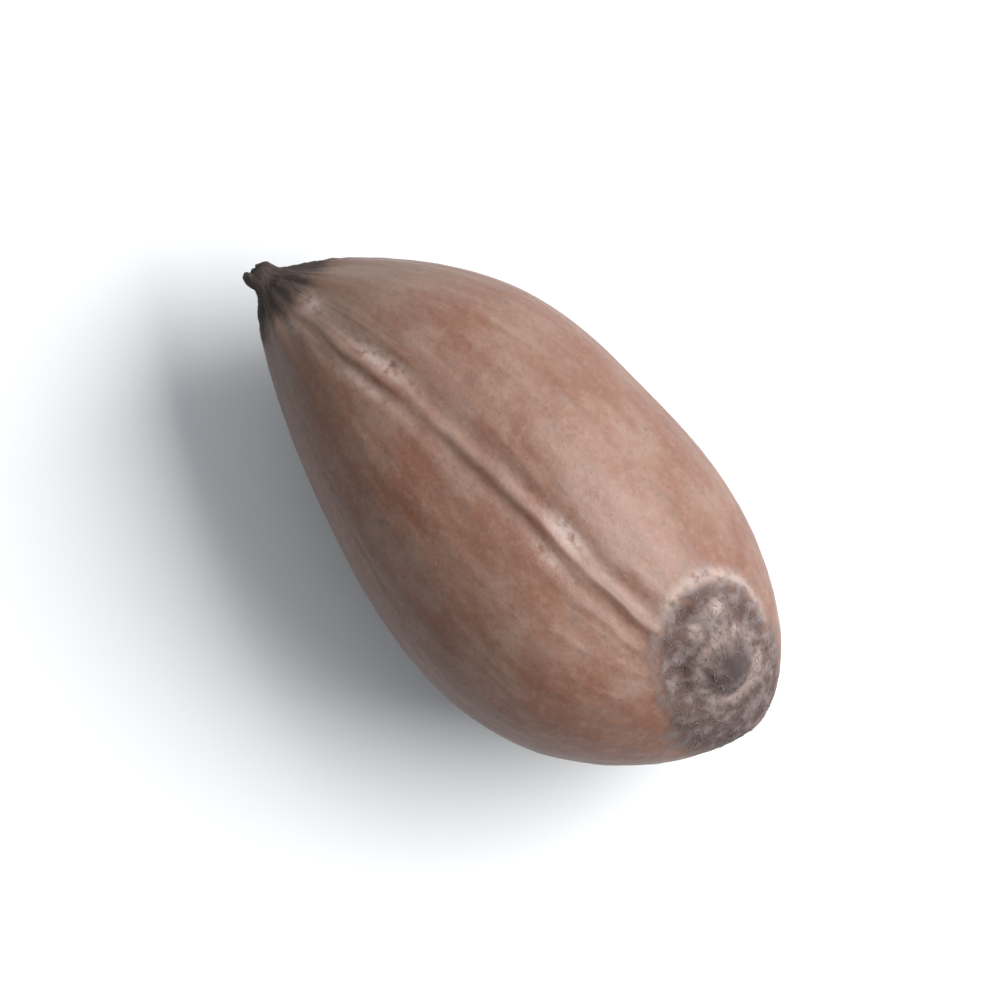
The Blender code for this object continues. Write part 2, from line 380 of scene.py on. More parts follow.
def nib_radius(shape, along):
    """Radius of the stub at the pointed end, which runs on inside the body."""
    widening = np.clip(along / NIB_LENGTH, 0.0, 1.0)
    radius = NIB_END_RADIUS + (NIB_ROOT_RADIUS - NIB_END_RADIUS) * widening
    rounding = np.clip(1.0 - along / NIB_END_ROUNDING, 0.0, 1.0)
    fade = 1.0 - smooth_step(along, 0.0, NIB_FADE_SHARE * shape.length)
    return radius * np.sqrt(1.0 - NIB_END_NARROWING * rounding**2) * fade


def joined(body, nib):
    """The larger of two radii, with a smooth join where they are alike."""
    return (body**NIB_BLEND + nib**NIB_BLEND) ** (1.0 / NIB_BLEND)


def centreline(shape, along):
    """Sideways place and height of the middle of the seed at each distance along it."""
    share = along / shape.length
    sideways = SWAY * np.sin(2.0 * math.pi * share) - NIB_LEAN * np.exp(-along / NIB_LENGTH)
    height = BACK_SHARE * shape.thickness - REST_DEPTH + TIP_LIFT * (1.0 - share) ** 2
    return sideways, height


def raphe_line(shape, along):
    """Sideways place of the raphe, which runs nearly straight and wanders a little."""
    share = along / shape.length
    turns = RAPHE_WANDER_WAVES * share - RAPHE_WANDER_START
    line = RAPHE_ASIDE + RAPHE_WANDER * np.sin(2.0 * math.pi * turns)
    for waves, phase in RAPHE_JITTER_WAVES:
        jitter = RAPHE_JITTER * np.sin(2.0 * math.pi * waves * share + phase)
        line = line + jitter / len(RAPHE_JITTER_WAVES)
    return line


def marked(along, places):
    """Strength of marks along the raphe, which are faint between the given places."""
    strength = FAINT_SHARE
    for place, half_length, peak in places:
        strength = strength + peak * bell(along - place, half_length)
    return np.clip(strength, 0.0, 1.0)


def smooth_body(shape, along, angle):
    """Points of the body without its fine relief. Angle is about the long axis, from +Z to +Y."""
    profile = body_profile(shape, along)
    nib = nib_radius(shape, along)
    side = joined(0.5 * shape.width * profile, nib)
    front = joined((1.0 - BACK_SHARE) * shape.thickness * profile, nib)
    back = joined(BACK_SHARE * shape.thickness * profile, nib)
    up = np.cos(angle)
    depth = np.where(up > 0.0, front, back)
    swell = sum(rise * np.cos(count * (angle - first)) for count, rise, first in SOFT_EDGES)
    for waves, turns, rise, phase in DENTS:
        swell = swell + rise * np.sin(waves * math.pi * along / shape.length + turns * angle + phase)
    swell = swell * profile
    sideways, height = centreline(shape, along)
    ragged = sum(rise * np.sin(waves * angle + phase) for waves, rise, phase in NIB_BREAKS)
    return np.stack(
        [
            along + ragged * np.exp(-along / NIB_ROOT_RADIUS),
            sideways + (side + swell) * np.sin(angle),
            height + (depth + swell) * up,
        ],
        axis=-1,
    )


def outward_normals(shape, along, angle):
    """Unit normals of the smooth body, by central differences."""
    step_along = DIFFERENCE_STEP * shape.length
    step_angle = DIFFERENCE_STEP * 2.0 * math.pi
    ahead = np.minimum(along + step_along, shape.length)
    behind = np.maximum(along - step_along, 0.0)
    lengthwise = smooth_body(shape, ahead, angle) - smooth_body(shape, behind, angle)
    forward = smooth_body(shape, along, angle + step_angle)
    round_it = forward - smooth_body(shape, along, angle - step_angle)
    normals = np.cross(round_it, lengthwise)
    return normals / np.linalg.norm(normals, axis=-1, keepdims=True)


def raphe_relief(shape, along, points, angle):
    """Height of the raphe, and masks of its groove's painted shade and of its crest's pale spots and
    painted highlight.
    """
    aside = points[..., 1] - raphe_line(shape, along)
    crest = bell(aside, RAPHE_HALF_WIDTH)
    ridge = shape.raphe_rise * crest
    for place, rise, half_width in RAPHE_FLANKS:
        ridge = ridge + rise * bell(aside - place, half_width)
    start = smooth_step(along, RAPHE_FROM, RAPHE_FROM + RAPHE_FADE)
    end = 1.0 - smooth_step(along, RAPHE_TO - RAPHE_FADE, RAPHE_TO)
    strength = np.where(np.cos(angle) > 0.0, start * end, 0.0)
    groove_place, _, groove_half_width = RAPHE_FLANKS[0]
    # Mask of the groove's painted shade, strongest at the dark places
    groove = bell(aside - groove_place, groove_half_width) * marked(along, DARK_PLACES)
    # Mask of the pale spots and painted highlight on the crest and lip
    lip = bell(aside - LIP_ASIDE, LIP_HALF_WIDTH)
    pale = np.maximum(crest, LIP_STRENGTH * lip) * marked(along, PALE_PLACES)
    marks = marked(along, DARK_PLACES + PALE_PLACES)
    height = ridge * strength * (RAPHE_LEAST + (1.0 - RAPHE_LEAST) * marks)
    return height, {"groove": groove * strength, "pale": pale * strength}


def surface_place(shape, along, aside):
    """Point of the top of the smooth body at the given distances along it and to its side."""
    along = np.array(along)
    sideways, _ = centreline(shape, along)
    reach = 0.5 * shape.width * body_profile(shape, along)
    return smooth_body(shape, along, np.arcsin((aside - sideways) / reach))


def spots(shape, points, places):
    """1 in the middle of round spots, given as (distance from the pointed end, side, radius)."""
    strength = np.zeros(points.shape[:-1])
    for along, aside, radius in places:
        distance = np.linalg.norm(points - surface_place(shape, along, aside), axis=-1)
        strength = np.maximum(strength, bell(distance, radius))
    return strength


def chalaza_relief(shape, points):
    """Height of the scar, and masks of its crust, pale ring and edge, pit and hollows."""
    offset = points - surface_place(shape, CHALAZA_PLACE, CHALAZA_ASIDE)
    around = np.arctan2(offset[..., 1], offset[..., 0])
    uneven = 1.0 + CHALAZA_UNEVENNESS * np.sin(2.0 * around - CHALAZA_UNEVEN_PHASE)
    distance = np.linalg.norm(offset, axis=-1) * uneven
    rim = shape.chalaza_rise * bell(distance - shape.chalaza_radius, CHALAZA_RIM_HALF_WIDTH)
    moat_radius = shape.chalaza_radius + CHALAZA_MOAT_OFFSET
    moat = CHALAZA_MOAT_DEPTH * bell(distance - moat_radius, CHALAZA_RIM_HALF_WIDTH)
    moat = moat * 0.5 * (1.0 - np.cos(around))
    floor_radius = CHALAZA_DISH_FLOOR * shape.chalaza_radius
    dish = 1.0 - smooth_step(distance, floor_radius, shape.chalaza_radius)
    straight = np.maximum(np.linalg.norm(offset, axis=-1), LEAST_DISTANCE)
    away = np.maximum(offset @ np.array(CRUST_STRETCH_TOWARDS) / straight, 0.0)
    reach = CRUST_REACH * (1.0 + CRUST_STRETCH * away**CRUST_STRETCH_POWER)
    crust = 1.0 - smooth_step(distance / reach, *CRUST_FADE)
    edge = bell(distance - EDGE_RADIUS, EDGE_HALF_WIDTH)
    edge = edge * EDGE_STRENGTH * (0.5 + 0.5 * np.cos(around - EDGE_SIDE)) ** 2
    pit_along = CHALAZA_PLACE + PIT_OFFSET[0]
    from_pit = points - surface_place(shape, pit_along, CHALAZA_ASIDE + PIT_OFFSET[1])
    pit_distance = np.linalg.norm(from_pit, axis=-1)
    ring = bell(pit_distance - PIT_RING_RADIUS, PIT_RING_HALF_WIDTH)
    pit = bell(pit_distance, PIT_RADIUS)
    bumps = spots(shape, points, SCAR_BUMPS)
    hollows = spots(shape, points, SCAR_HOLLOWS)
    relief = rim - moat - CHALAZA_DISH_DEPTH * dish + PIT_RING_RISE * ring - PIT_DEPTH * pit
    relief = relief + SCAR_BUMP_RISE * bumps - SCAR_HOLLOW_DEPTH * hollows
    pale = np.maximum(PIT_RING_PALENESS * ring, SCAR_BUMP_PALENESS * bumps) * (1.0 - hollows)
    return relief, {"crust": crust, "ring": pale, "edge": edge, "pit": pit, "hollow": hollows}


def pucker_waves(along, angle):
    """Folds between -1 and 1 that run back from the nib and die away."""
    bunching = PUCKER_BUNCHING * np.sin(PUCKER_BUNCHES * angle + PUCKER_PHASE)
    waves = np.sin(PUCKER_COUNT * angle + bunching)
    start = smooth_step(along, PUCKER_FROM, 2.0 * PUCKER_FROM)
    return waves * start * (1.0 - smooth_step(along, 2.0 * PUCKER_FROM, PUCKER_TO))


def ring_places(shape):
    """Distances of the rings from the pointed end, closest where the relief is finest."""
    share = np.linspace(0.0, 1.0, RING_SAMPLES)
    at_point, point_reach = RINGS_AT_POINT
    at_chalaza, chalaza_reach = RINGS_AT_CHALAZA
    at_round_end, round_end_reach = RINGS_AT_ROUND_END
    density = (
        1.0
        + at_point * np.exp(-share / point_reach)
        + at_chalaza * bell(share - CHALAZA_PLACE / shape.length, chalaza_reach)
        + at_round_end * np.exp(-(1.0 - share) / round_end_reach)
    )
    count = np.concatenate([[0.0], np.cumsum(0.5 * (density[1:] + density[:-1]))])
    wanted = np.linspace(0.0, count[-1], RINGS + 1)[:-1]
    return shape.length * np.interp(wanted, count, share)


def sector_angles(shape, along):
    """Angles of the sectors, crowded on both sides of the raphe, for each ring."""
    turn = np.arange(SECTORS) / SECTORS
    crowded = 2.0 * math.pi * turn - RAPHE_CROWDING * np.sin(2.0 * math.pi * turn)
    sideways, _ = centreline(shape, along)
    reach = joined(0.5 * shape.width * body_profile(shape, along), nib_radius(shape, along))
    aside = (raphe_line(shape, along) - sideways) / reach
    ridge = np.arcsin(np.clip(aside, -RAPHE_LIMIT, RAPHE_LIMIT))
    return crowded[None, :] + ridge[:, None]


def seed_surface(shape):
    """Grid of surface points closed by two end points, and the masks at each of them."""
    rings = ring_places(shape)
    angle = sector_angles(shape, rings)
    along = np.broadcast_to(rings[:, None], angle.shape)
    points = smooth_body(shape, along, angle)
    in_front = along < BELLY_PLACE * shape.length
    grain_radius = GRAIN_RADIUS * np.where(in_front, 1.0, body_profile(shape, along))
    grain = np.stack([along, grain_radius * np.cos(angle), grain_radius * np.sin(angle)], axis=-1)
    raphe, raphe_masks = raphe_relief(shape, along, points, angle)
    scar, scar_masks = chalaza_relief(shape, points)
    points = points + outward_normals(shape, along, angle) * (raphe + scar)[..., None]
    pit = points[0].mean(axis=0) + np.array([NIB_PIT_DEPTH, 0.0, 0.0])
    sideways, height = centreline(shape, np.array(shape.length))
    tail = np.array([shape.length, sideways, height])
    masks = {
        **raphe_masks,
        **scar_masks,
        "nib": 1.0 - smooth_step(along, NIB_FULL_SHARE * NIB_REACH, NIB_REACH),
        "tip": 1.0 - smooth_step(along, TIP_FULL_SHARE * TIP_REACH, TIP_REACH),
        "bare": smooth_step(along, BARE_FROM, BARE_TO) * (1.0 - scar_masks["crust"]),
        "pucker": pucker_waves(along, angle),
    }
    closed = {
        name: np.concatenate([values.ravel(), [values[0].mean()], [values[-1].mean()]])
        for name, values in masks.items()
    }
    tips = [grain[0].mean(axis=0), grain[-1].mean(axis=0)]
    return (
        centred_on_solid(np.concatenate([points.reshape(-1, 3), [pit], [tail]])),
        np.concatenate([grain.reshape(-1, 3), tips]),
        closed,
    )


def centred_on_solid(points):
    """Brings the seed to the middle of its solid's box, seen from above."""
    middle = 0.5 * (points.min(axis=0) + points.max(axis=0))
    wanted = 0.5 * (np.array(CAD_LOW) + np.array(CAD_HIGH))
    shift = np.array([wanted[0] - middle[0], wanted[1] - middle[1], 0.0])
    return points + shift


def grid_faces():
    """Corners of the faces of the grid and its two end fans, all facing out."""
    ring = np.arange(RINGS - 1)[:, None] * SECTORS
    sector = np.arange(SECTORS)[None, :]
    after = (sector + 1) % SECTORS
    quads = np.stack(
        [ring + sector, ring + SECTORS + sector, ring + SECTORS + after, ring + after], axis=-1
    )
    pit_corner = RINGS * SECTORS
    last = (RINGS - 1) * SECTORS
    faces = quads.reshape(-1, 4).tolist()
    for start in range(SECTORS):
        end = (start + 1) % SECTORS
        faces.append([start, end, pit_corner])
        faces.append([last + end, last + start, pit_corner + 1])
    return faces


def smooth_mesh(shape):
    """Mesh of the seed before its fine relief, with its masks as attributes."""
    points, grain, masks = seed_surface(shape)
    mesh = bpy.data.meshes.new("seed_smooth")
    mesh.from_pydata(points.tolist(), [], grid_faces())
    for name, values in masks.items():
        layer = mesh.attributes.new(name, "FLOAT", "POINT")
        layer.data.foreach_set("value", values.astype(np.float32))
    layer = mesh.attributes.new("grain", "FLOAT_VECTOR", "POINT")
    layer.data.foreach_set("vector", grain.astype(np.float32).ravel())
    mesh.shade_smooth()
    mesh.validate()
    return mesh


def new_tree(name, inputs, output):
    """Geometry Nodes tree with its named inputs, given as (name, kind), and one geometry output."""
    tree = bpy.data.node_groups.new(name, "GeometryNodeTree")
    sockets = {}
    for label, kind in inputs:
        sockets[label] = tree.interface.new_socket(label, in_out="INPUT", socket_type=kind)
    tree.interface.new_socket(output, in_out="OUTPUT", socket_type="NodeSocketGeometry")
    return tree, sockets


def end_tree(tree, geometry, material, output):
    """Makes the geometry real, gives it its material and puts it out of the tree."""
    real = add_node(tree, "GeometryNodeRealizeInstances", None, {"Geometry": geometry})
    finished = add_node(
        tree,
        "GeometryNodeSetMaterial",
        None,
        {"Geometry": real.outputs["Geometry"], "Material": material},
    )
    add_node(tree, "NodeGroupOutput", None, {output: finished.outputs["Geometry"]})


def relief_tree(material):
    """Raises veins, wrinkles, grit, puckers, crust and nib on the smooth seed."""
    rises = [f"{name} rise" for name in RELIEF_HEIGHTS]
    inputs = [("Surface", "NodeSocketGeometry"), ("Seed", "NodeSocketFloat")]
    inputs += [(rise, "NodeSocketFloat") for rise in rises]
    tree, sockets = new_tree("coat_relief", inputs, "Coat")
    given = add_node(tree, "NodeGroupInput").outputs
    values = {rise: given[rise] for rise in rises}
    for name in ("bare", "crust", "nib", "pucker"):
        values[name] = add_node(
            tree, "GeometryNodeInputNamedAttribute", {"data_type": "FLOAT"}, {"Name": name}
        ).outputs["Attribute"]
    grain = add_node(
        tree, "GeometryNodeInputNamedAttribute", {"data_type": "FLOAT_VECTOR"}, {"Name": "grain"}
    ).outputs["Attribute"]
    place = add_node(tree, "GeometryNodeInputPosition").outputs["Position"]
    # name: (coordinates, squeeze along the seed, size, detail)
    clouds = {
        "vein_cloud": (grain, 0.12, 0.50 * MM, 1.0),
        "wrinkle_cloud": (place, 0.60, 0.85 * MM, 3.0),
        "grit_cloud": (place, 1.0, 0.11 * MM, 2.0),
        "lump_cloud": (place, 1.0, 0.20 * MM, 3.0),
    }
    for name, (coordinates, squeeze, size, detail) in clouds.items():
        laid = add_node(
            tree,
            "ShaderNodeVectorMath",
            {"operation": "MULTIPLY"},
            {0: coordinates, 1: (squeeze, 1.0, 1.0)},
        )
        cloud = add_node(
            tree,
            "ShaderNodeTexNoise",
            {"noise_dimensions": "4D"},
            {"Vector": laid.outputs[0], "W": given["Seed"], "Scale": 1.0 / size, "Detail": detail},
        )
        values[name] = cloud.outputs["Fac"]
    # result: (operation, first, second); a name stands for an earlier result
    steps = (
        ("vein_side", "SUBTRACT", "vein_cloud", 0.5),
        ("vein_away", "ABSOLUTE", "vein_side", 0.0),
        ("vein_steep", "MULTIPLY", "vein_away", VEIN_STEEPNESS),
        ("vein_near", "MINIMUM", "vein_steep", 1.0),
        ("vein", "SUBTRACT", 1.0, "vein_near"),
        ("wrinkle", "SUBTRACT", "wrinkle_cloud", 0.5),
        ("grit", "SUBTRACT", "grit_cloud", 0.5),
        ("lump", "SUBTRACT", "lump_cloud", 0.5),
        ("bare_vein", "MULTIPLY", "vein", "bare"),
        ("bare_wrinkle", "MULTIPLY", "wrinkle", "bare"),
        ("crust_lump", "MULTIPLY", "lump", "crust"),
        ("nib_lump", "MULTIPLY", "lump", "nib"),
        ("vein_height", "MULTIPLY", "bare_vein", "vein rise"),
        ("wrinkle_height", "MULTIPLY", "bare_wrinkle", "wrinkle rise"),
        ("grit_height", "MULTIPLY", "grit", "grit rise"),
        ("pucker_height", "MULTIPLY", "pucker", "pucker rise"),
        ("crust_height", "MULTIPLY", "crust_lump", "crust rise"),
        ("nib_height", "MULTIPLY", "nib_lump", "nib rise"),
        ("coat_height", "ADD", "vein_height", "wrinkle_height"),
        ("fine_height", "ADD", "grit_height", "pucker_height"),
        ("rough_height", "ADD", "crust_height", "nib_height"),
        ("body_height", "ADD", "coat_height", "fine_height"),
        ("height", "ADD", "body_height", "rough_height"),
    )
    for name, operation, first, second in steps:
        values[name] = add_node(
            tree,
            "ShaderNodeMath",
            {"operation": operation},
            {0: values.get(first, first), 1: values.get(second, second)},
        ).outputs[0]
    surface = given["Surface"]
    for name, kept in (("lump", "lump_cloud"), ("vein", "bare_vein")):
        surface = add_node(
            tree,
            "GeometryNodeStoreNamedAttribute",
            {"data_type": "FLOAT", "domain": "POINT"},
            {"Geometry": surface, "Name": name, "Value": values[kept]},
        ).outputs["Geometry"]
    outward = add_node(
        tree,
        "ShaderNodeVectorMath",
        {"operation": "SCALE"},
        {0: add_node(tree, "GeometryNodeInputNormal").outputs["Normal"], "Scale": values["height"]},
    )
    raised = add_node(
        tree, "GeometryNodeSetPosition", None, {"Geometry": surface, "Offset": outward.outputs["Vector"]}
    )
    # The seed's weight rests on a small flat spot at the height of the table
    apart = add_node(tree, "ShaderNodeSeparateXYZ", None, {"Vector": place})
    above = add_node(tree, "ShaderNodeMath", {"operation": "MAXIMUM"}, {0: apart.outputs["Z"], 1: 0.0})
    together = add_node(
        tree,
        "ShaderNodeCombineXYZ",
        None,
        {"X": apart.outputs["X"], "Y": apart.outputs["Y"], "Z": above.outputs[0]},
    )
    rested = add_node(
        tree,
        "GeometryNodeSetPosition",
        None,
        {"Geometry": raised.outputs["Geometry"], "Position": together.outputs["Vector"]},
    )
    end_tree(tree, rested.outputs["Geometry"], material, "Coat")
    return tree, sockets


def grown_mesh(context, name, mesh, tree, sockets, settings):
    """Runs a tree on a mesh and gives back the plain mesh that it makes."""
    host = bpy.data.objects.new(name, mesh)
    context.scene.collection.objects.link(host)
    modifier = host.modifiers.new(name, "NODES")
    modifier.node_group = tree
    for label, value in settings.items():
        modifier[sockets[label].identifier] = value
    grown = bpy.data.meshes.new_from_object(host.evaluated_get(context.evaluated_depsgraph_get()))
    grown.name = name
    host.modifiers.remove(modifier)
    bpy.data.objects.remove(host)
    if not grown.polygons:
        raise RuntimeError(f"{name} has no faces")
    return grown


def seed_coat_material(colours):
    """Dry seed coat: a hard, woody skin under a thin dusty bloom.

    It looks matte and brown, with a broad soft shine, redder where the bloom has worn thin, greyer
    towards the pointed end, and pale and rough round the scar.
    """
    material = bpy.data.materials.new("dry_seed_coat")
    material.use_nodes = True
    tree = material.node_tree
    shader = tree.nodes["Principled BSDF"]
    amounts = {}
    masks = ("groove", "pale", "crust", "ring", "edge", "pit", "hollow", "nib", "tip")
    for name in (*masks, "lump", "vein", "bare"):
        amounts[name] = add_node(tree, "ShaderNodeAttribute", {"attribute_name": name}).outputs["Fac"]
    grain = add_node(tree, "ShaderNodeAttribute", {"attribute_name": "grain"}).outputs["Vector"]
    place = add_node(tree, "ShaderNodeTexCoord").outputs["Object"]
    # The specks stand for the bases of single fibres, about 0.02 mm across, and the dust for a film
    # of finer grains. Both are drawn as coarse as they need to be to show.
    # name: (coordinates, squeeze along the seed, size, detail, low, high, strength)
    patterns = {
        "patches": (grain, 0.65, 1.50 * MM, 3.0, 0.40, 0.64, 0.50),
        "bloom": (grain, 0.75, 0.75 * MM, 5.0, 0.34, 0.70, 0.75),
        "mottle": (place, 1.0, 0.30 * MM, 5.0, 0.40, 0.68, 0.40),
        "dust": (place, 1.0, 0.11 * MM, 4.0, 0.48, 0.70, 0.35),
        "streaks": (grain, 0.12, 0.20 * MM, 3.0, 0.48, 0.78, 0.13),
        "fingers": (grain, 0.20, 0.40 * MM, 4.0, 0.30, 0.70, 1.0),
        "specks": (place, 1.0, 0.060 * MM, 1.0, 0.60, 0.72, 0.30),
        "crumbs": (place, 1.0, 0.14 * MM, 4.0, 0.25, 0.58, 1.0),
    }
    for name, (coordinates, squeeze, size, detail, low, high, strength) in patterns.items():
        laid = add_node(
            tree, "ShaderNodeMapping", None, {"Vector": coordinates, "Scale": (squeeze, 1.0, 1.0)}
        )
        cloud = add_node(
            tree,
            "ShaderNodeTexNoise",
            None,
            {
                "Vector": laid.outputs["Vector"],
                "Scale": 1.0 / size,
                "Detail": detail,
                "Roughness": NOISE_ROUGHNESS,
            },
        )
        amounts[name] = add_node(
            tree,
            "ShaderNodeMapRange",
            {"interpolation_type": "SMOOTHSTEP"},
            {"Value": cloud.outputs["Fac"], "From Min": low, "From Max": high, "To Max": strength},
        ).outputs["Result"]
    # name: (pattern, its strength, mask whose edge it breaks up)
    for name, (pattern, strength, mask) in {
        "crust_sum": ("lump", 1.8, "crust"),
        "nib_lumps": ("lump", 0.6, "nib"),
        "nib_sum": ("fingers", 0.5, "nib_lumps"),
    }.items():
        amounts[name] = add_node(
            tree,
            "ShaderNodeMath",
            {"operation": "MULTIPLY_ADD"},
            {0: amounts[pattern], 1: strength, 2: amounts[mask]},
        ).outputs[0]
    # name: (pattern or mask, its low and high, strength)
    for name, (source, low, high, strength) in {
        "crust_area": ("crust_sum", 1.00, 1.80, 1.0),
        "nib_area": ("nib_sum", 0.72, 1.55, 1.0),
        "lump_top": ("lump", 0.44, 0.64, 1.0),
        # where the lumps are low, for the painted shade between them
        "lump_gap_shade": ("lump", 0.50, 0.36, 0.55),
        "vein_line": ("vein", 0.35, 1.0, 0.12),
    }.items():
        amounts[name] = add_node(
            tree,
            "ShaderNodeMapRange",
            {"interpolation_type": "SMOOTHSTEP"},
            {"Value": amounts[source], "From Min": low, "From Max": high, "To Max": strength},
        ).outputs["Result"]
    # name: (first amount, second amount or a share)
    products = {
        "crust_base": ("crust_area", 0.80),
        "crust_top": ("crust_area", "lump_top"),
        # painted shade in the gaps between the crust's lumps
        "crust_gap_painted_shade": ("crust_area", "lump_gap_shade"),
        "edge_skin": ("edge", "crumbs"),
        # painted shade in the scar's hollows
        "hollow_painted_shade": ("hollow", 0.60),
        "ring_crumbs": ("ring", "crumbs"),
        # pale spots and painted highlight on the raphe's crest and lip
        "raphe_pale_and_highlight": ("pale", "crumbs"),
        # painted shade in the raphe's groove
        "groove_painted_shade": ("groove", 0.38),
        # painted shade in the scar's pit
        "pit_painted_shade": ("pit", 0.92),
        "tip_grey": ("tip", 0.45),
        "nib_dark": ("nib_area", 0.92),
        "bare_specks": ("bare", "specks"),
    }
    for name, (first, second) in products.items():
        amounts[name] = add_node(
            tree,
            "ShaderNodeMath",
            {"operation": "MULTIPLY"},
            {0: amounts[first], 1: amounts.get(second, second)},
        ).outputs[0]
    colour = colours.coat
    # Painted shade darkens the raphe's groove and the scar's lump gaps, hollows and pit; painted
    # highlight lightens the raphe's crest and lip along with their pale spots.
    for over, amount in (
        (colours.warm, "patches"),
        (colours.bloom, "bloom"),
        (colours.warm, "mottle"),
        (colours.bloom, "dust"),
        (colours.vein, "streaks"),
        (colours.vein, "vein_line"),
        (colours.vein, "bare_specks"),
        (colours.tip, "tip_grey"),
        (colours.groove, "groove_painted_shade"),
        (colours.skin, "raphe_pale_and_highlight"),
        (colours.scar, "crust_base"),
        (colours.crust, "crust_top"),
        (colours.groove, "crust_gap_painted_shade"),
        (colours.skin, "ring_crumbs"),
        (colours.skin, "edge_skin"),
        (colours.groove, "hollow_painted_shade"),
        (colours.scar, "pit_painted_shade"),
        (colours.nib, "nib_dark"),
    ):
        mixed = add_node(
            tree,
            "ShaderNodeMix",
            {"data_type": "RGBA"},
            {MIX_FACTOR: amounts[amount], MIX_UNDER: colour, MIX_OVER: over},
        )
        colour = mixed.outputs[MIX_RESULT]
    tree.links.new(colour, shader.inputs["Base Color"])
    bare_roughness, bloom_roughness = COAT_ROUGHNESS
    roughness = add_node(
        tree,
        "ShaderNodeMapRange",
        None,
        {"Value": amounts["bloom"], "To Min": bare_roughness, "To Max": bloom_roughness},
    )
    rough = add_node(
        tree, "ShaderNodeMath", {"operation": "MAXIMUM"}, {0: amounts["crust"], 1: amounts["nib"]}
    )
    matted = add_node(
        tree,
        "ShaderNodeMath",
        {"operation": "MULTIPLY_ADD", "use_clamp": True},
        {0: rough.outputs[0], 1: ROUGHNESS_OF_CRUST, 2: roughness.outputs["Result"]},
    )
    tree.links.new(matted.outputs[0], shader.inputs["Roughness"])
    set_inputs(shader, {"IOR": COAT_IOR, "Specular IOR Level": COAT_SPECULAR})
    fine = add_node(
        tree,
        "ShaderNodeTexNoise",
        None,
        {"Vector": place, "Scale": 1.0 / FINE_SIZE, "Detail": 3.0, "Roughness": NOISE_ROUGHNESS},
    )
    bump = add_node(
        tree,
        "ShaderNodeBump",
        None,
        {"Height": fine.outputs["Fac"], "Strength": FINE_STRENGTH, "Distance": FINE_DEPTH},
    )
    tree.links.new(bump.outputs["Normal"], shader.inputs["Normal"])
    return material


def fibre_material(colours):
    """Cotton fibre cut short: a matte thread, nearly clear in itself, that looks pale in bundles."""
    material = bpy.data.materials.new("cotton_fibre")
    material.use_nodes = True
    tree = material.node_tree
    shader = tree.nodes["Principled BSDF"]
    place = add_node(tree, "ShaderNodeTexCoord").outputs["Object"]
    cloud = add_node(
        tree, "ShaderNodeTexNoise", None, {"Vector": place, "Scale": 1.0 / FIBRE_PATCH, "Detail": 2.0}
    )
    darker = tuple(FIBRE_SHADE * channel for channel in colours.fibre[:3]) + (1.0,)
    mixed = add_node(
        tree,
        "ShaderNodeMix",
        {"data_type": "RGBA"},
        {MIX_FACTOR: cloud.outputs["Fac"], MIX_UNDER: darker, MIX_OVER: colours.fibre},
    )
    tree.links.new(mixed.outputs[MIX_RESULT], shader.inputs["Base Color"])
    set_inputs(shader, {"Roughness": FIBRE_ROUGHNESS, "IOR": FIBRE_IOR})
    return material


